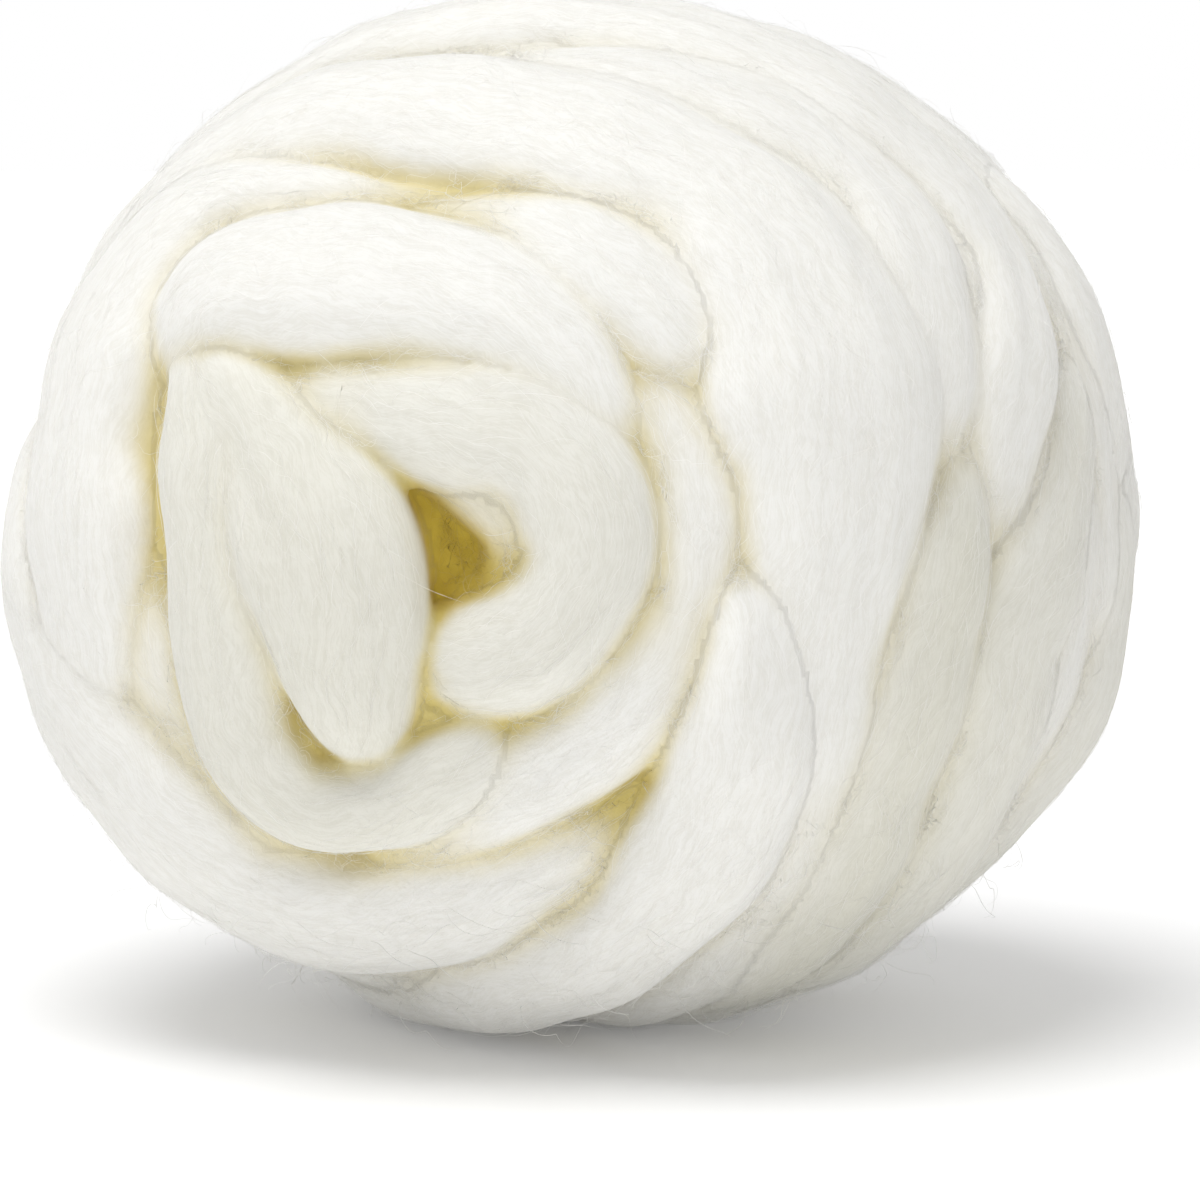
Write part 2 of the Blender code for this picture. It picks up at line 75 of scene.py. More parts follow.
# ---- Turns that show at the front. A row is one section of the turn, in millimetres:
#      across and up: its middle as seen from the front, from the ball's middle and the ground
#      width:         of the turn there
#      lift:          of its crown above the ball's mean surface
FRONT_TURNS = {
    # across, up, width, lift
    "inner_left": (
        (-60, 111, 8, -6),
        (-55.5, 104, 14, -1),
        (-49, 96.5, 21, 0),
        (-44, 87, 26.5, 2),
        (-39.5, 76, 29, 3),
        (-37.5, 68, 28, 3),
        (-36.5, 60, 23.5, 2),
        (-35.5, 52, 18.5, 0),
        (-35.5, 46.5, 12, -8),
    ),
    "left_loop": (
        (-60, 113, 12, -6),
        (-58.5, 98, 19, -1),
        (-58.5, 80, 18.5, 0.5),
        (-56, 62, 20.5, 1),
        (-53, 47, 19, 1),
        (-43, 36.5, 16, 1),
        (-29.5, 36.5, 15.5, 0.5),
        (-18, 43, 13.5, -1),
        (-8.5, 49.5, 9, -7),
    ),
    "inner_curl": (
        (-51, 103, 7, -7),
        (-40, 102, 14, -3),
        (-30, 101, 18, -2),
        (-19, 99, 20, -1),
        (-8, 97, 21.5, 0),
        (0.5, 89, 21.5, 0),
        (3, 76.5, 20.5, 0),
        (-4.5, 64.5, 20, -1),
        (-16, 60, 19, -4),
        (-29, 60, 15, -12),
    ),
    "upper": (
        (-64, 103, 8, -11),
        (-62, 112, 17, -4),
        (-55, 120, 24, 0),
        (-45, 122, 27, 2),
        (-30, 122, 26, 2),
        (-13, 118, 21, 1),
        (-1, 110, 16, 0),
        (7, 99, 10, -3),
        (12, 89, 5, -9),
    ),
    "upper_lobe": (
        (-27, 133.5, 5, -6),
        (-12, 131.5, 12, -3),
        (2, 126, 18, 0),
        (15, 116, 22, -1),
        (24, 106, 19, -5),
        (30, 98, 14, -12),
    ),
    "crescent": (
        (4, 113, 4, -8),
        (13, 104, 12, -4),
        (19.5, 91, 16, -3),
        (20.5, 76, 16, -3),
        (16, 63, 18, -3),
        (6, 50, 19, -3),
        (-8, 41, 18, -3),
        (-23, 33, 15, -4),
        (-34, 30, 9, -8),
    ),
    "low_sweep": (
        (17, 46, 6, -11),
        (4, 33, 15, -5),
        (-13, 24, 21, -2),
        (-30, 19.5, 28, 0),
        (-47, 22.5, 33, 2),
        (-62.5, 33.5, 37, 3),
        (-75, 48, 38, 3),
        (-84, 67, 33, 1),
    ),
    "outer_left": (
        (-14, 134, 5, -7),
        (-29, 135, 8, -5),
        (-43, 136.5, 12, -3),
        (-56, 134.5, 18, -1),
        (-65.5, 126, 26, 0),
        (-73, 112, 33, 0),
        (-77.5, 94.5, 35.5, 0),
        (-77.5, 77, 35, 0),
        (-73.5, 60, 30, -2),
        (-67, 47, 22, -5),
        (-58, 35, 14, -10),
    ),
    "left_floor": (
        (-66, 120, 14, -9),
        (-69.5, 100, 17, -9),
        (-68.5, 82, 18, -8.5),
        (-65, 64, 24, -5.5),
        (-56, 47, 24, -4),
        (-43, 32, 20, -6),
        (-28, 26, 14, -9),
    ),
    "broad": (
        (-74, 119.5, 22, -4),
        (-62, 133.5, 25, -2),
        (-47.5, 144.5, 26.5, -1),
        (-32, 148.5, 28, 0),
        (-14, 147, 29.5, 0),
        (6, 142, 31, 0),
        (25, 132, 34, 1),
        (37, 115, 38, 2),
        (42, 95, 39, 2),
        (41, 75, 29, 1),
        (38.5, 56, 22, 0),
        (35.5, 38, 20, -2),
        (30, 23, 19, -3),
        (21, 11, 19, -2),
    ),
    "second": (
        (-20, 156.5, 6, -6),
        (2, 155, 15, -2),
        (21, 150, 21, -1),
        (37, 142, 25, -1),
        (48, 132, 27, -1),
        (54, 119.5, 26, -1),
        (56, 106, 23, -2),
        (54.5, 93, 17, -5),
        (51, 81, 11, -10),
    ),
    "top": (
        (-60, 140, 20, -2),
        (-43, 152.5, 22, -1),
        (-24, 159.5, 23, 0),
        (-2, 162, 24, 1),
        (19, 159, 25, 1),
        (40, 150.5, 26, 1),
        (56, 138.5, 26, 0),
        (66, 125, 25, -1),
        (70, 111.5, 24, -1),
        (69, 100, 22.5, -2),
        (67.5, 89, 18.5, -4),
        (65.5, 79, 13, -6.5),
        (63.5, 70, 8, -9),
        (62, 62, 5, -12),
    ),
    "leaf_middle": (
        (62, 99, 6, -8),
        (62.5, 88, 13, -3.5),
        (60.5, 76, 19, -1),
        (56.5, 63, 22, -1),
        (53, 50, 23, -1),
        (48.5, 38, 24, -1),
        (43, 26, 25, -1),
        (33, 15, 24, -1),
        (24, 8, 20, -2),
    ),
    "leaf_low": (
        (77, 117, 9, -8),
        (79, 103, 17, -3.5),
        (78.5, 89, 22, -2),
        (74.5, 75, 26, -1.5),
        (69.5, 63, 28.5, -1),
        (67.5, 51, 28, -1),
        (64, 40, 27, 0),
        (57, 28, 25, 0),
    ),
    "outer_right": (
        (56, 148, 9, -5),
        (70, 135, 19, 0.5),
        (80, 120, 23, 1),
        (86, 103, 22, 0.5),
        (88.5, 86, 17, -3),
        (88, 70, 11, -9),
    ),
    "rim_right": (
        (86, 102, 9, -6),
        (88.5, 84, 17, -1),
        (86.5, 66, 20, 1),
        (80.5, 49, 21, 2),
        (71.5, 35, 20, 0),
    ),
    "front_right": (
        (28.5, 80, 4, -7),
        (30, 68, 12, 0),
        (29.5, 53, 19, 3),
        (26, 38, 24, 3),
        (18, 24, 25, 3),
        (7, 14, 23, 2),
        (-7, 8, 22, 1),
        (-22, 7, 22, 0),
    ),
    "eye_lining": (
        (-26, 96, 9, -10),
        (-15, 91, 14, -5.5),
        (-7.5, 84.5, 16, -4.5),
        (-6.5, 77, 15, -6),
        (-11, 70.5, 12, -9),
        (-20, 68, 10, -12),
    ),
    "under_curl": (
        (-38, 57, 10, -13),
        (-28, 53.5, 16, -8.5),
        (-17, 52, 16, -7.5),
        (-6, 51, 11, -11),
    ),
    "eye_floor": (
        (-32, 93, 8, -14),
        (-26, 86, 13, -12),
        (-19, 78, 16, -12),
        (-12, 71, 14, -12),
        (-6, 65, 8, -14),
    ),
}

# ---- Turns that go on out of sight, in degrees: before their first row, past their last row ----
RUN_ON = {
    "low_sweep": (0, 60),
    "broad": (75, 60),
    "top": (60, 0),
    "leaf_middle": (0, 62),
    "leaf_low": (0, 62),
    "rim_right": (0, 70),
    "front_right": (0, 58),
}
RUN_ON_ROWS = 6
RUN_ON_SINK = 8.0           # of the crown by the far end
RUN_ON_WIDTH = 26.0         # that the turn widens or narrows to

# ---- Turns round the winding axis that the front hides, wholly or in part. Angles in degrees:
#      polar:   from the eye, at the start and at the end of the turn
#      azimuth: of the start, clockwise from the left as seen from the front
#      sweep:   clockwise round the axis
#      width and lift as above
HIDDEN_TURNS = {
    # polar_from, polar_to, azimuth, sweep, width, lift
    "under_front": (26, 60, 20, 900, 32, -9),
    "under_rim": (58, 82, 200, 800, 33, -5),
    "side_coil": (76, 112, 75, 940, 33, -4),
    "back_coil": (110, 150, 250, 760, 32, -4),
    "back_rosette": (146, 176, 40, 760, 27, -2),
    "back_core": (171, 178, 120, 300, 15, -4),
    "side_leaf_1": (88, 103, 50, 150, 26, -1.5),
    "side_leaf_2": (104, 90, 160, 140, 26, 0),
    "side_leaf_3": (88, 104, 215, 150, 26, -1),
    "side_leaf_4": (112, 96, 290, 160, 28, 0),
    "side_leaf_5": (118, 104, 20, 160, 27, 1),
    "side_leaf_6": (104, 122, 128, 170, 28, 1),
    "side_leaf_7": (106, 124, 262, 150, 27, 0),
    "back_leaf_1": (134, 118, 10, 190, 28, 1),
    "back_leaf_2": (122, 140, 170, 200, 27, 1),
    "back_leaf_3": (140, 124, 300, 170, 27, 0),
    "back_leaf_4": (138, 156, 80, 230, 26, 1),
    "back_leaf_5": (156, 142, 250, 210, 25, 1),
}
HIDDEN_STEP = 15.0          # degrees of sweep between sections
END_SHARE = 0.14            # of a hidden turn, at each end, over which it narrows and sinks
END_SINK = 9.0
WAVE_LIFT = 1.2             # by which a hidden turn rises and sinks along its length
WAVE_WIDTH = 0.10           # share of its width by which it widens and narrows


def unit(vectors):
    return vectors / np.linalg.norm(vectors, axis=-1)[..., None]


def on_shell(points, inset):
    """Points moved along their rays from the centre onto the ball's form, inset by a distance."""
    half = HALF_SIZE - np.asarray(inset)[..., None]
    ray = (points - CENTRE) / half
    return CENTRE + ray / np.linalg.norm(ray, axis=-1)[..., None] * half


def seen_from_front(across, up, inset):
    """Points of the inset form that are seen at (across, up) from the view point."""
    half = HALF_SIZE - inset[:, None]
    target = CENTRE + np.outer(across, (1, 0, 0)) + np.outer(up - CENTRE[2], VIEW_UP)
    ray = target - VIEW_POINT
    ray /= np.linalg.norm(ray, axis=1)[:, None]
    start = (VIEW_POINT - CENTRE) / half
    slope = ray / half
    a = (slope * slope).sum(axis=1)
    b = (slope * start).sum(axis=1)
    c = (start * start).sum(axis=1) - 1
    reach = (-b - np.sqrt(np.maximum(b * b - a * c, 0))) / a
    return on_shell(VIEW_POINT + ray * reach[:, None], inset)


def thickness(width):
    """A share of the width, levelling off towards the thickest that a turn gets."""
    free = width * THICKNESS_SHARE
    return free / (1 + (free / THICKEST) ** 3) ** (1 / 3)


def centre_inset(width, lift):
    """Depth of a section's middle under the surface, from its thickness and its crown's lift."""
    return thickness(width) / 2 - lift


def run_on(sections, degrees):
    """Sections that carry a turn on round the ball from its last section, sinking as they go."""
    before, last = unit((sections[-2:, :3] - CENTRE) / HALF_SIZE)
    side = np.cross(unit(np.cross(before, last)), last)
    share = np.arange(1, RUN_ON_ROWS + 1) / RUN_ON_ROWS
    angle = np.radians(degrees) * share
    ray = np.outer(np.cos(angle), last) + np.outer(np.sin(angle), side)
    width = sections[-1, 3] + (RUN_ON_WIDTH - sections[-1, 3]) * np.sin(share * np.pi)
    lift = sections[-1, 4] - RUN_ON_SINK * share ** 2
    middle = on_shell(CENTRE + ray * HALF_SIZE, centre_inset(width, lift))
    return np.column_stack([middle, width, lift])


def front_turn(rows, before=0, after=0):
    """Sections (x, y, z, width, lift) of a turn given by a table seen from the front."""
    across, up, width, lift = np.array(rows, float).T
    middle = seen_from_front(across, up, centre_inset(width, lift))
    sections = np.column_stack([middle, width, lift])
    if before:
        sections = np.vstack([run_on(sections[::-1], before)[::-1], sections])
    if after:
        sections = np.vstack([sections, run_on(sections, after)])
    return sections


def winding_axes():
    """Unit vectors: from the centre to the eye, then square to it, to the left and up."""
    inset = np.array([PACKED_INSET])
    eye = seen_from_front(np.array([EYE_ACROSS]), np.array([EYE_UP]), inset)[0] - CENTRE
    eye /= np.linalg.norm(eye)
    left = np.cross(eye, (0, 0, 1))
    left /= np.linalg.norm(left)
    return eye, left, np.cross(left, eye)


def hidden_turn(polar_from, polar_to, azimuth, sweep, width, lift):
    """Sections of a turn laid round the winding axis, tucked in at both ends."""
    eye, left, up = winding_axes()
    count = int(abs(sweep) / HIDDEN_STEP) + 1
    share = np.linspace(0, 1, count)
    polar = np.radians(polar_from + (polar_to - polar_from) * share)
    round_axis = np.radians(azimuth + sweep * share)
    ray = np.outer(np.cos(polar), eye)
    ray += np.outer(np.sin(polar) * np.cos(round_axis), left)
    ray += np.outer(np.sin(polar) * np.sin(round_axis), up)
    to_end = np.minimum(share, 1 - share) / min(END_SHARE, 90.0 / abs(sweep))
    full = np.sin(np.clip(to_end, 0, 1) * np.pi / 2)
    wave = np.sin(1.7 * round_axis + polar_from)
    widths = width * (0.35 + 0.65 * full) * (1 + WAVE_WIDTH * wave)
    lifts = lift - END_SINK * (1 - full) ** 1.5 + WAVE_LIFT * np.sin(2.3 * round_axis + polar_to)
    middle = on_shell(CENTRE + ray * HALF_SIZE, centre_inset(widths, lifts))
    return np.column_stack([middle, widths, lifts])


def spline(rows, step):
    """The rows joined by a smooth curve and read off again at an even step."""
    gaps = np.linalg.norm(np.diff(rows[:, :3], axis=0), axis=1)
    knots = np.concatenate([[0], np.cumsum(gaps)])
    slopes = np.empty_like(rows)
    slopes[1:-1] = (rows[2:] - rows[:-2]) / (knots[2:] - knots[:-2])[:, None]
    slopes[0] = (rows[1] - rows[0]) / gaps[0]
    slopes[-1] = (rows[-1] - rows[-2]) / gaps[-1]
    at = np.linspace(0, knots[-1], max(int(knots[-1] / step), 8) + 1)
    i = np.clip(np.searchsorted(knots, at, side="right") - 1, 0, len(gaps) - 1)
    h = gaps[i][:, None]
    s = (at - knots[i])[:, None] / h
    start = (2 * s ** 3 - 3 * s ** 2 + 1) * rows[i] + (s ** 3 - 2 * s ** 2 + s) * h * slopes[i]
    end = (3 * s ** 2 - 2 * s ** 3) * rows[i + 1] + (s ** 3 - s ** 2) * h * slopes[i + 1]
    return start + end


def end_rounding(along, length, reach):
    """1 along a turn, falling to a rounded tip over the given reach at each end."""
    to_tip = np.clip(np.minimum(along, length - along) / reach, 0, 1)
    return np.maximum(np.sqrt(1 - (1 - to_tip) ** 2), 0.03)


# ---- The ball's surface: the strands run together, their creases softened ----
STRAND_STEP = 2.4           # between sections of a strand
OUTER_POINTS = 31           # on the side of a section that faces out
INNER_POINTS = 10
SWELL = 0.03                # how much a strand thickens and thins along its length
SWELL_LENGTHS = (9.5, 4.1)
GRAIN = 1.0                 # between points of the joined surface
CREASE_PASSES = 17
BALL_TRIANGLES = 196000
NEAR_PASSES = 14            # of averaging over neighbours, about 3 mm round a point
FAR_PASSES = 150            # about 10 mm round it
NEAR_WEIGHT = 2.0
RIDGE_LENGTH = 15.0         # over which a ridge drifts sideways and comes and goes
RIDGE_DRIFT = 1.8
RIDGES = (
    # spacing, rise
    (13.0, 0.26),
    (7.7, 0.14),
    (4.7, 0.06),
)

# ---- Loose fibres ----
SAMPLES = 26000             # places looked at all over the ball
FIBRE_SEED = 7
FIBRE_SIDES = 3
LOWEST_FIBRE = 0.1          # above the ground
SURFACE_FIBRES = 6200       # that lie along the strands
SURFACE_LENGTHS = (5, 17)
SURFACE_RADII = (0.018, 0.034)
DEEPEST_FIBRE = 9.0         # places deeper under the ball's mean surface carry none of them
CREASE_FIBRES = 2800        # that cross from one strand to the next
CREASE_REACHES = (3.5, 12)
CREASE_RADIUS = 0.042       # of the thickest
SHORTEST_CROSSING = 2.5
CROSSING_HOLLOW = 0.3       # from this hollow on a place carries crossing fibres
FLYAWAY_FIBRES = 3000       # that stand off the surface
FLYAWAY_LENGTHS = (2.5, 9)
FLYAWAY_RADIUS = 0.04
LOOPED_SHARE = 0.65         # of them turn back to the surface
CURLS = 230                 # round the underside
CURL_LENGTHS = (4, 15)
CURL_RADIUS = 0.06
CURL_HEIGHTS = (5.0, 34.0)  # between which they leave the ball
LOWEST_CURL = 0.4           # above the ground

# ---- Colours, from the crowns to the eye, with painted shade among them, and what sets them in ----
CREAM = (0.88, 0.873, 0.838, 1.0)
SHADED_CREAM = (0.66, 0.635, 0.55, 1.0)
# Painted shade for the turns that lie in shade: their cream, and its darker gaps between hairs
PAINTED_SHADE_CREAM = (0.735, 0.72, 0.63, 1.0)
PAINTED_SHADE_GAP_CREAM = (0.52, 0.50, 0.39, 1.0)
# Painted shade: yellow in the creases and deep gold in the eye, where light bounces among the fibres
# and little gets in
CREASE_PAINTED_SHADE = (0.66, 0.55, 0.20, 1.0)
EYE_PAINTED_SHADE = (0.62, 0.47, 0.07, 1.0)
FIBRE_CREAM = (0.97, 0.965, 0.945, 1.0)
FIBRE_SHADE = (0.95, 0.935, 0.89, 1.0)
DEEPEST_GAP = 0.26          # share of the shaded cream between hairs
CREASE_HOLLOWS = (-1.8, 3.2)    # over which the painted crease shade sets in
CREASE_DEPTHS = (-2.0, 8.0)
EYE_DEPTHS = (8.0, 14.0)    # over which the eye's painted shade sets in
EYE_PULL = 4.5              # by which the eye's painted shade sets in sooner around the eye
EYE_SPREAD = 17.0
PAINTED_SHADE_REACH = (50.0, 88.0)     # from the eye, over which the painted crease shade grows paler and the eye's painted shade ends
PALEST_CREASE = 0.3
TURN_PAINTED_SHADE = {              # turns given painted shade, from 0 to 1
    "inner_left": 0.7,
    "left_loop": 0.65,
    "inner_curl": 0.55,
    "leaf_middle": 0.9,
    "leaf_low": 0.6,
    "rim_right": 0.5,
}
SHADE_PASSES = 40           # of averaging, which fades a turn's painted shade into the next turn's
FIBRE_PALENESS = 1.5        # taken off a fibre's hollow, so that it takes less painted crease shade and shows pale over a crease
FIBRE_SHARE = 0.2           # of a turn's painted shade that its loose fibres take on

# ---- The wool's fine pattern, read along and around each strand ----
HAIRS = (
    # grains a millimetre along and around, slant in degrees, share of the tone
    (0.07, 0.95, 5.0, 0.22),
    (0.17, 3.2, -10.0, 0.26),
    (0.16, 3.9, 15.0, 0.26),
)
WANDERINGS = (
    # grains a metre, reach in millimetres along and around
    (130.0, 6.0, 4.0),
    (420.0, 1.0, 0.6),
)
BUNDLES = (0.05, 0.28)      # grains a millimetre along and around
BUNDLE_RISE = 0.28
FLUFF_FINENESS = 430.0      # grains a metre
FLUFF_RISE = 0.36
FLUFF_SHARE = 0.26          # of the tone
STRAND_CHANGE = 7.0         # by which the pattern moves from one strand to the next
GAP_TONES = (0.58, 0.40)    # over which a gap between hairs sets in
RELIEF = 0.55               # how strongly the fine pattern shades
SOFTNESS = 0.3              # share of the light that sinks into a strand
SINK_DEPTH = 4.0            # in millimetres

# ---- Camera ----
IMAGE_ACROSS = 5.0          # the middle of the picture, measured as in the tables
IMAGE_UP = 70.0
LENS = 144.0
SENSOR = 36.0

# ---- Light and floor. Lengths in metres ----
SOFT_LIGHT = 0.345
BACKGROUND_LIGHT = 1.0
LIGHTS = {
    # place, size, power in watts
    "key": ((-0.2, -0.28, 1.15), 0.8, 9.4),
    "fill": ((0.05, -0.95, 0.16), 0.5, 0.55),
}
FLOOR_RADIUS = 9.0
FLOOR_DROP = 0.00005        # under the flat spot
FLOOR_TONES = ((0.88, 0.88, 0.88, 1.0), (0.90, 0.90, 0.90, 1.0))
NEAR_GLOW = (-0.08, 0.25, 0.42)     # distances over which the floor's glow sets in, and its strength
FAR_GLOW = (0.3, 1.0, 0.5)


def section_angles():
    """Angles round a section from its inner side by way of its crown, and the crown's number."""
    shown = np.linspace(0, np.pi, OUTER_POINTS)
    tucked = np.linspace(np.pi, 2 * np.pi, INNER_POINTS + 2)[1:-1]
    half = INNER_POINTS // 2
    angles = np.concatenate([tucked[half:] - 2 * np.pi, shown, tucked[:half]])
    return angles, half + OUTER_POINTS // 2


def power(values, exponent):
    return np.sign(values) * np.abs(values) ** exponent


def ridges(along, around, seed):
    """Height of the long low ridges that bundles of fibre make on a strand."""
    height = np.zeros_like(around)
    for number, (spacing, rise) in enumerate(RIDGES, 1):
        place = along / RIDGE_LENGTH
        drift = RIDGE_DRIFT * np.sin(place * number ** 0.5 + seed * 1.7 * number)
        strength = rise * (0.6 + 0.4 * np.sin(place / 0.7 + seed * 2.9 + number))
        height += strength * np.sin(2 * np.pi * (around + drift) / spacing + seed * number)
    return height


def strand(rows, seed):
    """A strand's surface as a grid (section, around), with its distances along and around."""
    path = spline(rows, STRAND_STEP)
    width, lift = path[:, 3], path[:, 4]
    middle = on_shell(path[:, :3], centre_inset(width, lift))
    forward = unit(np.gradient(middle, axis=0))
    sideways = unit(np.cross(forward, (middle - CENTRE) / HALF_SIZE ** 2))
    outward = np.cross(sideways, forward)
    steps = np.linalg.norm(np.diff(middle, axis=0), axis=1)
    along = np.concatenate([[0], np.cumsum(steps)])
    rounding = end_rounding(along, along[-1], width / 2)
    swell = 1 + SWELL * sum(np.sin(along / length + seed * length) for length in SWELL_LENGTHS)
    half_width = (width / 2 * rounding * swell)[:, None]
    half_height = (thickness(width) / 2 * rounding * swell)[:, None]
    angle, crown = section_angles()
    flat = half_width * power(np.cos(angle), ROUNDNESS)
    tall = half_height * power(np.sin(angle), ROUNDNESS)
    points = middle[:, None] + sideways[:, None] * flat[..., None] + outward[:, None] * tall[..., None]
    ring = np.linalg.norm(np.diff(points, axis=1), axis=2)
    around = np.concatenate([np.zeros((len(ring), 1)), np.cumsum(ring, axis=1)], axis=1)
    around -= around[:, crown][:, None]
    return {"points": points, "along": along, "around": around, "forward": forward, "seed": seed}


def depth_under_mean(points):
    """Depth of points under the ball's mean surface."""
    ray = (points - CENTRE) / HALF_SIZE
    size = np.linalg.norm(ray, axis=-1)
    return (1 - size) * np.linalg.norm(points - CENTRE, axis=-1) / size


def tube_faces(sections, around, first):
    """Quads between neighbouring rings of points, and a face to close each end."""
    start = first + np.arange(sections - 1)[:, None] * around
    this = np.arange(around)
    following = (this + 1) % around
    quads = np.stack([start + this, start + following,
                      start + around + following, start + around + this], axis=-1)
    last = first + (sections - 1) * around
    ends = [tuple(range(first + around - 1, first - 1, -1)), tuple(range(last, last + around))]
    return quads.reshape(-1, 4).tolist() + ends


def add_piece(name, mesh, material, attributes):
    """An object of the ball that rides on its body. The attributes hold a value a point."""
    for label, values in attributes.items():
        kind, field = ("FLOAT_VECTOR", "vector") if values.ndim == 2 else ("FLOAT", "value")
        layer = mesh.attributes.new(label, kind, "POINT")
        layer.data.foreach_set(field, values.astype(np.float32).ravel())
    mesh.name = name
    mesh.materials.clear()
    mesh.materials.append(material)
    mesh.shade_smooth()
    piece = bpy.data.objects.new(name, mesh)
    bpy.context.scene.collection.objects.link(piece)
    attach(piece, "root")
    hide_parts("roving_ball")
    return piece


def all_strands():
    turns = {name: front_turn(rows, *RUN_ON.get(name, (0, 0))) for name, rows in FRONT_TURNS.items()}
    turns.update({name: hidden_turn(*row) for name, row in HIDDEN_TURNS.items()})
    strands = [strand(rows, seed) for seed, rows in enumerate(turns.values(), 1)]
    for name, made in zip(turns, strands):
        made["painted_shade"] = TURN_PAINTED_SHADE.get(name, 0.0)
    return strands


class Winding:
    """Every strand's surface in one set of faces, which knows the strand under any place."""

    def __init__(self, strands):
        self.strands = strands
        self.points = []
        self.faces = []
        self.tree_faces = []
        owner = []
        for number, made in enumerate(strands):
            sections, around = made["around"].shape
            faces = tube_faces(sections, around, len(self.points))
            self.faces += faces
            self.tree_faces += faces[:-2]
            self.points += made["points"].reshape(-1, 3).tolist()
            row, column = np.divmod(np.arange((sections - 1) * around), around)
            owner.append(np.column_stack([np.full(len(row), number), row, column]))
        self.owner = np.concatenate(owner)
        self.tree = BVHTree.FromPolygons(self.points, self.tree_faces)

    def nearest(self, places):
        """For each place: the strand's number, and its section and point around."""
        return np.array([self.owner[self.tree.find_nearest(Vector(p))[2]] for p in places])

    def flow(self, places, where):
        """For each place: distance along its strand, distance around it, and the strand's seed."""
        flow = np.empty((len(places), 3))
        for number, made in enumerate(self.strands):
            mine = np.flatnonzero(where[:, 0] == number)
            row, column = where[mine, 1], where[mine, 2]
            grid = made["points"]
            across = unit(grid[row, (column + 1) % grid.shape[1]] - grid[row, column] + 1e-9)
            offset = places[mine] - grid[row, column]
            flow[mine, 0] = made["along"][row] + (offset * made["forward"][row]).sum(axis=1)
            flow[mine, 1] = made["around"][row, column] + (offset * across).sum(axis=1)
            flow[mine, 2] = made["seed"]
        return flow


def packed_inside():
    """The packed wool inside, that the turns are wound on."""
    bpy.ops.mesh.primitive_ico_sphere_add(subdivisions=5, radius=1.0)
    ball = bpy.context.active_object
    rays = np.empty(len(ball.data.vertices) * 3)
    ball.data.vertices.foreach_get("co", rays)
    faces = [tuple(face.vertices) for face in ball.data.polygons]
    bpy.data.objects.remove(ball, do_unlink=True)
    rays = rays.reshape(-1, 3)
    return on_shell(CENTRE + rays * HALF_SIZE, np.full(len(rays), PACKED_INSET)), faces


def mesh_points(mesh, field="vertices"):
    values = np.empty(len(mesh.vertices) * 3)
    if field == "vertices":
        mesh.vertices.foreach_get("co", values)
    else:
        mesh.vertex_normals.foreach_get("vector", values)
    return values.reshape(-1, 3)


def evaluated_mesh(piece):
    bpy.context.view_layer.update()
    evaluated = piece.evaluated_get(bpy.context.evaluated_depsgraph_get())
    return bpy.data.meshes.new_from_object(evaluated)


def joined_surface(winding):
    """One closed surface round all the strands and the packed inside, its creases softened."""
    inside, inside_faces = packed_inside()
    first = len(winding.points)
    points = np.concatenate([np.array(winding.points), inside])
    points[:, 2] = np.maximum(points[:, 2], 0.0)
    faces = winding.faces + [tuple(first + i for i in face) for face in inside_faces]
    mesh = bpy.data.meshes.new("strands")
    mesh.from_pydata((points * MM).tolist(), [], faces)
    guide = bpy.data.objects.new("strands", mesh)
    bpy.context.scene.collection.objects.link(guide)
    joined = guide.modifiers.new("joined", "REMESH")
    joined.mode = "VOXEL"
    joined.voxel_size = GRAIN * MM
    soft = guide.modifiers.new("soft_creases", "SMOOTH")
    soft.factor = 0.5
    soft.iterations = CREASE_PASSES
    thin = guide.modifiers.new("thin", "DECIMATE")
    thin.show_viewport = False
    thin.ratio = min(BALL_TRIANGLES / (2 * len(evaluated_mesh(guide).polygons)), 1.0)
    thin.show_viewport = True
    made = evaluated_mesh(guide)
    bpy.data.objects.remove(guide, do_unlink=True)
    return made


def averaged(mesh, values, passes):
    """Values of a mesh's points, each replaced a number of times by its neighbours' mean."""
    edges = np.empty(len(mesh.edges) * 2, np.int32)
    mesh.edges.foreach_get("vertices", edges)
    start, end = edges.reshape(-1, 2).T
    here, there = np.concatenate([start, end]), np.concatenate([end, start])
    count = len(mesh.vertices)
    neighbours = np.bincount(here, minlength=count)
    for _ in range(passes):
        sums = [np.bincount(here, column[there], count) for column in values.T]
        values = np.column_stack([column / neighbours for column in sums])
    return values


def eased(values, low, high):
    share = np.clip((values - low) / (high - low), 0, 1)
    return share * share * (3 - 2 * share)


def painted_shade_in_hollows(points, hollow):
    """How far the painted shade of the creases sets in, and the painted shade of the eye."""
    depth = depth_under_mean(points)
    eye = seen_from_front(np.array([EYE_ACROSS]), np.array([EYE_UP]), np.array([0.0]))
    distance = np.linalg.norm(points - eye, axis=1)
    closeness = np.exp(-(distance / EYE_SPREAD) ** 2)
    paling = eased(distance, *PAINTED_SHADE_REACH)
    crease = eased(hollow, *CREASE_HOLLOWS) * eased(depth, *CREASE_DEPTHS)
    eye_shade = eased(depth + EYE_PULL * closeness, *EYE_DEPTHS)
    return {"crease": crease * (1 - (1 - PALEST_CREASE) * paling), "eye_shade": eye_shade * (1 - paling)}


def hollowness(mesh, points, normals):
    """How far each point lies under the mean surface of its surroundings, near and farther off."""
    near = averaged(mesh, points, NEAR_PASSES)
    far = averaged(mesh, near, FAR_PASSES)
    return ((far - points + NEAR_WEIGHT * (near - points)) * normals).sum(axis=1)


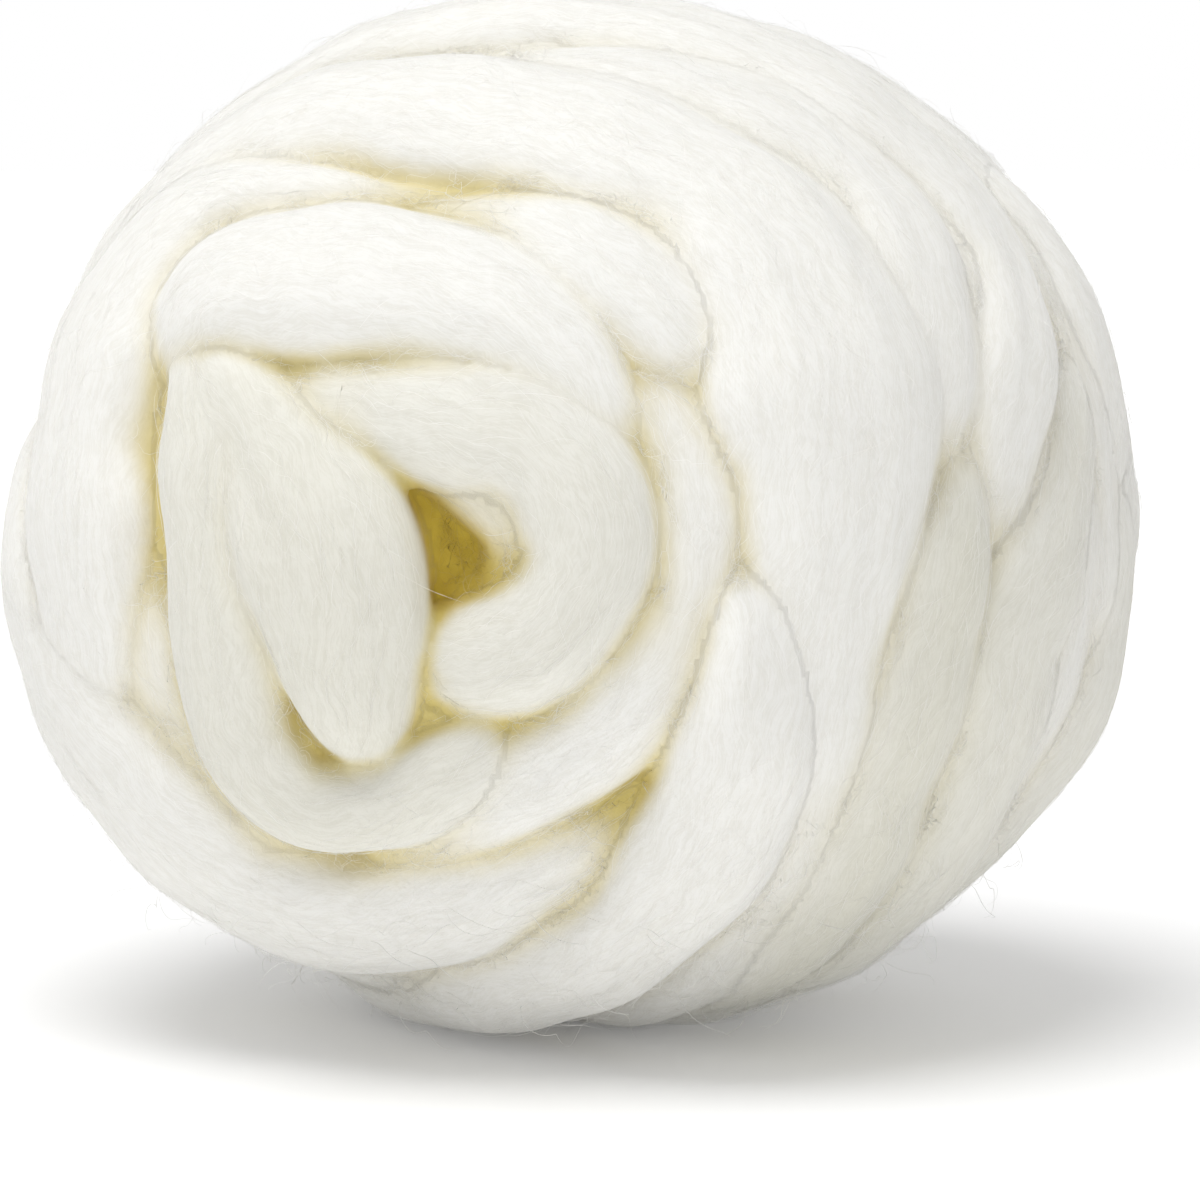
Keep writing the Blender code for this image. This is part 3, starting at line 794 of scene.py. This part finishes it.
def make_ball(winding, material):
    mesh = joined_surface(winding)
    points = mesh_points(mesh) / MM
    where = winding.nearest(points)
    flow = winding.flow(points, where)
    height = ridges(flow[:, 0], flow[:, 1], flow[:, 2])
    normals = mesh_points(mesh, "normals")
    hollow = hollowness(mesh, points, normals)
    # Painted shade of the turns in shade, faded into their neighbours
    painted_shade = np.array([made["painted_shade"] for made in winding.strands])[where[:, :1]]
    painted_shade = averaged(mesh, painted_shade, SHADE_PASSES)[:, 0]
    points += normals * height[:, None]
    points[:, 2] = np.maximum(points[:, 2], 0.0)
    mesh.vertices.foreach_set("co", (points * MM).ravel())
    mesh.update()
    # The painted shade of the turns, the creases and the eye goes with the ball as attributes
    piece = add_piece("wound_ball", mesh, material,
                      {"flow": flow, "painted_shade": painted_shade, **painted_shade_in_hollows(points, hollow)})
    return piece, hollow


def sample_surface(ball, hollow, winding, random):
    """Places all over the ball's outer surface, each with its strand, section and point around."""
    tree = BVHTree.FromObject(ball, bpy.context.evaluated_depsgraph_get())
    rays = unit(random.normal(size=(SAMPLES, 3)))
    starts = (CENTRE + rays * max(HALF_SIZE) * 1.5) * MM
    found = [tree.ray_cast(Vector(start), Vector(-ray))[:3] for start, ray in zip(starts, rays)]
    places = np.array([place for place, _, _ in found]) / MM
    normals = np.array([normal for _, normal, _ in found])
    corner = [ball.data.polygons[face].vertices[0] for _, _, face in found]
    where = winding.nearest(places)
    forward = np.array([winding.strands[n]["forward"][row] for n, row, _ in where])
    painted_shade = np.array([winding.strands[n]["painted_shade"] for n in where[:, 0]])
    return {"where": where, "places": places, "normals": normals, "forward": forward, "painted_shade": painted_shade,
            "depth": depth_under_mean(places), "hollow": hollow[corner], "tree": tree}


def fibre_tubes(paths, radius):
    """Points and faces of thin closed tubes along paths (fibre, point, 3)."""
    fibres, steps, _ = paths.shape
    forward = unit(np.gradient(paths, axis=1))
    level = unit(np.cross(forward, paths - CENTRE) + 1e-6)
    upright = np.cross(forward, level)
    angle = np.arange(FIBRE_SIDES) * 2 * np.pi / FIBRE_SIDES
    taper = np.sin(np.linspace(0.12, np.pi - 0.12, steps)) ** 0.5
    size = (radius[:, None] * taper)[..., None, None]
    ring = (level[:, :, None] * np.cos(angle)[:, None] + upright[:, :, None] * np.sin(angle)[:, None])
    points = paths[:, :, None] + ring * size
    points[..., 2] = np.maximum(points[..., 2], LOWEST_FIBRE)
    faces = []
    for fibre in range(fibres):
        faces += tube_faces(steps, FIBRE_SIDES, fibre * steps * FIBRE_SIDES)
    return points.reshape(-1, 3), faces


def add_fibres(name, paths, radius, surface, chosen, material):
    """Fibres along the paths, each coloured, painted shade and all, as the place on the surface that
    it was drawn from.
    """
    points, faces = fibre_tubes(paths, radius)
    mesh = bpy.data.meshes.new(name)
    mesh.from_pydata((points * MM).tolist(), [], faces)
    each = len(points) // len(paths)
    add_piece(name, mesh, material,
              {"painted_shade": np.repeat(surface["painted_shade"][chosen] * FIBRE_SHARE, each),
               **painted_shade_in_hollows(points, np.repeat(surface["hollow"][chosen] - FIBRE_PALENESS, each))})


def read_grid(grid, row, column):
    """Values of a strand's grid between its points."""
    rows, columns = grid.shape[:2]
    row = np.clip(row, 0, rows - 1.001)
    column = np.clip(column, 0, columns - 1.001)
    r, c = row.astype(int), column.astype(int)
    u, v = (row - r)[:, None], (column - c)[:, None]
    return ((1 - u) * (1 - v) * grid[r, c] + u * (1 - v) * grid[r + 1, c]
            + (1 - u) * v * grid[r, c + 1] + u * v * grid[r + 1, c + 1])


def surface_fibre_paths(winding, surface, chosen, random, steps=10):
    """Crimped fibres that lie along the strands, a little above them, and dive in at both ends."""
    share = np.linspace(0, 1, steps)
    paths = []
    for i in chosen:
        number, row, column = surface["where"][i]
        made = winding.strands[number]
        length = random.uniform(*SURFACE_LENGTHS)
        sections = length / STRAND_STEP
        slant, bend, turn = random.normal(0, (2.4, 0.7, 2.0))
        crimp = 0.25 * np.sin(share * length * random.uniform(1.1, 1.7) + turn)
        rows = row + sections * (share - 0.5)
        columns = column + slant * (share - 0.5) + bend * np.sin(share * 4 + turn) + crimp
        height = -0.15 + random.uniform(0.2, 0.75) * np.sin(share * np.pi) ** 0.6
        path = []
        for place, rise in zip(read_grid(made["points"], rows, columns), height):
            spot, normal = surface["tree"].find_nearest(Vector(place * MM))[:2]
            path.append(np.array(spot) / MM + np.array(normal) * rise)
        paths.append(path)
    return np.array(paths)


def crossing_paths(surface, random, steps=10):
    """Wisps that cross a crease from one strand to the next."""
    near = np.flatnonzero(surface["hollow"] > CROSSING_HOLLOW)
    tree = KDTree(len(near))
    for number, i in enumerate(near):
        tree.insert(surface["places"][i], number)
    tree.balance()
    share = np.linspace(0, 1, steps)[:, None]
    paths, chosen = [], []
    for i in random.choice(near, CREASE_FIBRES * 2):
        place, normal = surface["places"][i], surface["normals"][i]
        reach = random.uniform(*CREASE_REACHES)
        others = tree.find_range(place, reach)
        if len(others) < 2 or len(paths) == CREASE_FIBRES:
            continue
        end = np.array(others[random.integers(len(others))][0])
        if np.linalg.norm(end - place) < SHORTEST_CROSSING:
            continue
        bow = random.uniform(0.2, 1.3)
        curl = random.normal(0, 0.4, (2, 3))
        wave = share * reach * random.uniform(1.2, 2.2)
        path = place + (end - place) * share + normal * bow * np.sin(share * np.pi)
        path = path + (curl[0] * np.sin(wave) + curl[1] * np.cos(wave)) * np.sin(share * np.pi) ** 0.5
        paths.append(path)
        chosen.append(i)
    return np.array(paths), chosen


def flyaway_paths(surface, random, steps=7):
    """Short fibres that stand off the surface, some free at the far end and some looped back."""
    share = np.linspace(0, 1, steps)[:, None]
    chosen = random.choice(len(surface["places"]), FLYAWAY_FIBRES, replace=False)
    paths = []
    for i in chosen:
        place, normal, forward = (surface[k][i] for k in ("places", "normals", "forward"))
        side = np.cross(normal, forward)
        heading = forward * random.choice((-1, 1)) + side * random.normal(0, 0.6)
        length = random.uniform(*FLYAWAY_LENGTHS)
        rise = min(0.4 + random.exponential(0.6), 3.0)
        looped = random.random() < LOOPED_SHARE
        lift = np.sin(share * np.pi) ** 0.8 if looped else share ** 1.3
        wave = share * random.uniform(3, 9) + random.uniform(0, 6)
        curl = side * np.sin(wave) * random.uniform(0.2, 1.1) * share
        paths.append(place - normal * 0.2 + heading * length * share + normal * rise * lift + curl)
    return np.array(paths), chosen


def curl_paths(surface, random, steps=24):
    """Loose curls that hang round the underside and trail on the ground."""
    lowest, highest = CURL_HEIGHTS
    height = surface["places"][:, 2]
    low = np.flatnonzero((height > lowest) & (height < highest))
    share = np.linspace(0, 1, steps)[:, None]
    chosen = random.choice(low, CURLS, replace=False)
    paths = []
    for i in chosen:
        place, normal = surface["places"][i], surface["normals"][i]
        level = unit(np.cross(normal, (0, 0, 1)))
        out = unit(np.cross((0, 0, 1), level)) * -1
        if out @ (place - CENTRE) < 0:
            out = -out
        length = random.uniform(*CURL_LENGTHS) * random.choice((-1, 1))
        droop = min(random.uniform(1, 7), place[2] - 0.5)
        bow = random.uniform(1.0, 4.0)
        turns = random.uniform(3, 10)
        size = random.uniform(0.4, 1.3)
        wave = share * turns + random.uniform(0, 6)
        swell = np.sin(share * np.pi) ** 0.5
        path = (place - normal * 0.3 + level * length * share + out * bow * swell
                - np.array([0, 0, 1]) * droop * share ** 1.4
                + (level * np.sin(wave) + np.array([0, 0, 1]) * np.cos(wave)) * size * swell)
        paths.append(path)
    paths = np.array(paths)
    paths[..., 2] = np.maximum(paths[..., 2], LOWEST_CURL)
    return paths, chosen


def make_fibres(ball, hollow, winding, material):
    random = np.random.default_rng(FIBRE_SEED)
    surface = sample_surface(ball, hollow, winding, random)
    shallow = np.flatnonzero(surface["depth"] < DEEPEST_FIBRE)
    chosen = random.choice(shallow, SURFACE_FIBRES, replace=False)
    behind = surface["places"][chosen][:, 1] > CENTRE[1]
    for name, part in (("surface_fibres_front", chosen[~behind]),
                       ("surface_fibres_back", chosen[behind])):
        paths = surface_fibre_paths(winding, surface, part, random)
        radius = random.uniform(*SURFACE_RADII, len(part))
        add_fibres(name, paths, radius, surface, part, material)
    for name, make_paths, thickest in (("crease_fibres", crossing_paths, CREASE_RADIUS),
                                       ("flyaway_fibres", flyaway_paths, FLYAWAY_RADIUS),
                                       ("underside_curls", curl_paths, CURL_RADIUS)):
        paths, part = make_paths(surface, random)
        radius = thickest * random.uniform(0.5, 1.0, len(part))
        add_fibres(name, paths, radius, surface, part, material)


class Nodes:
    """Short calls that add nodes to a material and join them."""

    def __init__(self, material):
        material.use_nodes = True
        self.tree = material.node_tree
        self.shader = self.tree.nodes["Principled BSDF"]

    def add(self, kind, settings=None, **inputs):
        node = self.tree.nodes.new(kind)
        for name, value in (settings or {}).items():
            setattr(node, name, value)
        for name, value in inputs.items():
            self.put(node.inputs[name.replace("_", " ")], value)
        return node

    def put(self, socket, value):
        if isinstance(value, bpy.types.NodeSocket):
            self.tree.links.new(value, socket)
        else:
            socket.default_value = value

    def attribute(self, name, output):
        return self.add("ShaderNodeAttribute", {"attribute_name": name}).outputs[output]

    def vector(self, operation, first, second):
        made = self.add("ShaderNodeVectorMath", {"operation": operation})
        self.put(made.inputs[0], first)
        self.put(made.inputs[1], second)
        return made.outputs[0]

    def wandering(self, place, where, fineness, reach):
        """The place moved about, by up to half the reach each way, from one grain to the next."""
        noise = self.add("ShaderNodeTexNoise", Vector=where, Scale=fineness, Detail=0.0)
        offset = self.vector("SUBTRACT", noise.outputs["Color"], (0.5, 0.5, 0.5))
        return self.vector("ADD", place, self.vector("MULTIPLY", offset, reach))

    def stretched_noise(self, flow, along, around, slant=0.0):
        """Noise read at a place on a strand, turned, and scaled apart along and around."""
        turned = self.add("ShaderNodeVectorRotate", {"rotation_type": "Z_AXIS"}, Vector=flow,
                          Angle=np.radians(slant))
        scaled = self.vector("MULTIPLY", turned.outputs[0], (along, around, STRAND_CHANGE))
        noise = self.add("ShaderNodeTexNoise", Scale=1.0, Detail=1.0, Roughness=0.55, Vector=scaled)
        return noise.outputs["Fac"]

    def sum_with(self, total, value, share):
        made = self.add("ShaderNodeMath", {"operation": "MULTIPLY_ADD"})
        for socket, given in zip(made.inputs, (value, share, total)):
            self.put(socket, given)
        return made.outputs[0]

    def between(self, value, low, high, highest=1.0):
        mapped = self.add("ShaderNodeMapRange", {"interpolation_type": "SMOOTHSTEP"}, Value=value,
                          From_Min=low, From_Max=high, To_Max=highest)
        return mapped.outputs["Result"]

    def mix(self, factor, first, second):
        mixed = self.add("ShaderNodeMix", {"data_type": "RGBA"})
        self.put(mixed.inputs["Factor"], factor)
        self.put(mixed.inputs[6], first)
        self.put(mixed.inputs[7], second)
        return mixed.outputs[2]


def with_painted_shade(nodes, crown):
    """The crown's colour, with painted shade going yellow in the creases and golden in the eye."""
    crease = nodes.mix(nodes.attribute("crease", "Fac"), crown, CREASE_PAINTED_SHADE)
    return nodes.mix(nodes.attribute("eye_shade", "Fac"), crease, EYE_PAINTED_SHADE)


def strand_material():
    material = bpy.data.materials.new("combed_wool")
    nodes = Nodes(material)
    place = nodes.add("ShaderNodeTexCoord").outputs["Object"]
    flow = nodes.attribute("flow", "Vector")
    bundles = nodes.stretched_noise(flow, *BUNDLES)
    for fineness, along, around in WANDERINGS:
        flow = nodes.wandering(flow, place, fineness, (along, around, 0.0))
    fluff = nodes.add("ShaderNodeTexNoise", Vector=place, Scale=FLUFF_FINENESS, Detail=3.0,
                      Roughness=0.72).outputs["Fac"]
    tone = nodes.sum_with(0.0, fluff, FLUFF_SHARE)
    for along, around, slant, share in HAIRS:
        tone = nodes.sum_with(tone, nodes.stretched_noise(flow, along, around, slant), share)
    # Painted shade between the hairs: the gaps take the shaded cream
    gap = nodes.between(tone, *GAP_TONES, DEEPEST_GAP)
    crown = nodes.mix(gap, CREAM, SHADED_CREAM)
    painted_shade_crown = nodes.mix(gap, PAINTED_SHADE_CREAM, PAINTED_SHADE_GAP_CREAM)
    # Painted shade: the turns in shade take the deeper cream
    crown = nodes.mix(nodes.attribute("painted_shade", "Fac"), crown, painted_shade_crown)
    # Painted shade in the creases and the eye
    nodes.put(nodes.shader.inputs["Base Color"], with_painted_shade(nodes, crown))
    height = nodes.sum_with(nodes.sum_with(0.0, bundles, BUNDLE_RISE), fluff, FLUFF_RISE)
    bump = nodes.add("ShaderNodeBump", Strength=RELIEF, Distance=MM, Height=height)
    nodes.put(nodes.shader.inputs["Normal"], bump.outputs["Normal"])
    finish_wool(nodes, SOFTNESS)
    return material


def fibre_material():
    material = bpy.data.materials.new("loose_wool_fibre")
    nodes = Nodes(material)
    place = nodes.add("ShaderNodeTexCoord").outputs["Object"]
    tone = nodes.add("ShaderNodeTexNoise", Vector=place, Scale=240.0).outputs["Fac"]
    crown = nodes.mix(nodes.between(tone, 0.3, 0.7), FIBRE_CREAM, FIBRE_SHADE)
    # Painted shade: the fibre takes a share of its turn's painted shade
    crown = nodes.mix(nodes.attribute("painted_shade", "Fac"), crown, PAINTED_SHADE_CREAM)
    nodes.put(nodes.shader.inputs["Base Color"], with_painted_shade(nodes, crown))
    finish_wool(nodes, 0.0)
    return material


def finish_wool(nodes, softness):
    shader = nodes.shader
    shader.subsurface_method = "BURLEY"
    for name, value in (("Roughness", 0.82), ("Specular IOR Level", 0.0), ("Sheen Weight", 0.25),
                        ("Sheen Roughness", 0.55), ("Subsurface Weight", softness),
                        ("Subsurface Scale", SINK_DEPTH * MM)):
        shader.inputs[name].default_value = value
    shader.inputs["Subsurface Radius"].default_value = (1.0, 0.97, 0.9)


def make_floor():
    """A pale floor that glows, more strongly away from the ball, so that it goes white there as a lit
    studio table does.
    """
    bpy.ops.mesh.primitive_circle_add(vertices=96, radius=FLOOR_RADIUS, fill_type="NGON")
    floor = bpy.context.active_object
    floor.name = "floor"
    floor.location = (0.0, 0.0, -FLOOR_DROP)
    material = bpy.data.materials.new("pale_floor")
    nodes = Nodes(material)
    place = nodes.add("ShaderNodeTexCoord").outputs["Object"]
    grain = nodes.add("ShaderNodeTexNoise", Vector=place, Scale=60.0, Detail=4.0)
    colour = nodes.mix(grain.outputs["Fac"], *FLOOR_TONES)
    length = nodes.add("ShaderNodeVectorMath", {"operation": "LENGTH"})
    nodes.put(length.inputs[0], place)
    distance = length.outputs["Value"]
    near_glow = nodes.between(distance, *NEAR_GLOW)
    far_glow = nodes.between(distance, *FAR_GLOW)
    glow = nodes.sum_with(near_glow, far_glow, 1.0)
    nodes.put(nodes.shader.inputs["Base Color"], colour)
    nodes.put(nodes.shader.inputs["Emission Strength"], glow)
    nodes.shader.inputs["Emission Color"].default_value = (1.0, 1.0, 1.0, 1.0)
    nodes.shader.inputs["Roughness"].default_value = 0.9
    nodes.shader.inputs["Specular IOR Level"].default_value = 0.1
    floor.data.materials.append(material)


def make_area_light(name, place, size, watts, aim):
    data = bpy.data.lights.new(name, "AREA")
    data.shape = "DISK"
    data.size = size
    data.energy = watts
    light = bpy.data.objects.new(name, data)
    bpy.context.scene.collection.objects.link(light)
    light.location = place
    light.rotation_euler = (Vector(aim) - Vector(place)).to_track_quat("-Z", "Y").to_euler()


def make_world():
    """White behind everything, and a soft even light from it that is dimmer than it looks."""
    world = bpy.data.worlds.new("studio")
    bpy.context.scene.world = world
    world.use_nodes = True
    tree = world.node_tree
    sky = tree.nodes["Background"]
    sky.inputs["Color"].default_value = (1.0, 1.0, 1.0, 1.0)
    rays = tree.nodes.new("ShaderNodeLightPath")
    strength = tree.nodes.new("ShaderNodeMapRange")
    strength.inputs["To Min"].default_value = SOFT_LIGHT
    strength.inputs["To Max"].default_value = BACKGROUND_LIGHT
    tree.links.new(rays.outputs["Is Camera Ray"], strength.inputs["Value"])
    tree.links.new(strength.outputs["Result"], sky.inputs["Strength"])


def make_studio():
    make_floor()
    make_world()
    for name, (place, size, watts) in LIGHTS.items():
        make_area_light(name, place, size, watts, CENTRE * MM)
    bpy.context.scene.view_settings.view_transform = "Standard"


def make_camera():
    data = bpy.data.cameras.new("camera")
    data.lens = LENS
    data.sensor_width = SENSOR
    camera = bpy.data.objects.new("camera", data)
    bpy.context.scene.collection.objects.link(camera)
    aim = CENTRE + np.array([IMAGE_ACROSS, 0, 0]) + (IMAGE_UP - CENTRE[2]) * VIEW_UP
    camera.location = Vector(VIEW_POINT * MM)
    camera.rotation_euler = (Vector(aim * MM) - camera.location).to_track_quat("-Z", "Y").to_euler()
    bpy.context.scene.camera = camera


winding = Winding(all_strands())
ball, hollow = make_ball(winding, strand_material())
make_fibres(ball, hollow, winding, fibre_material())
make_studio()
make_camera()
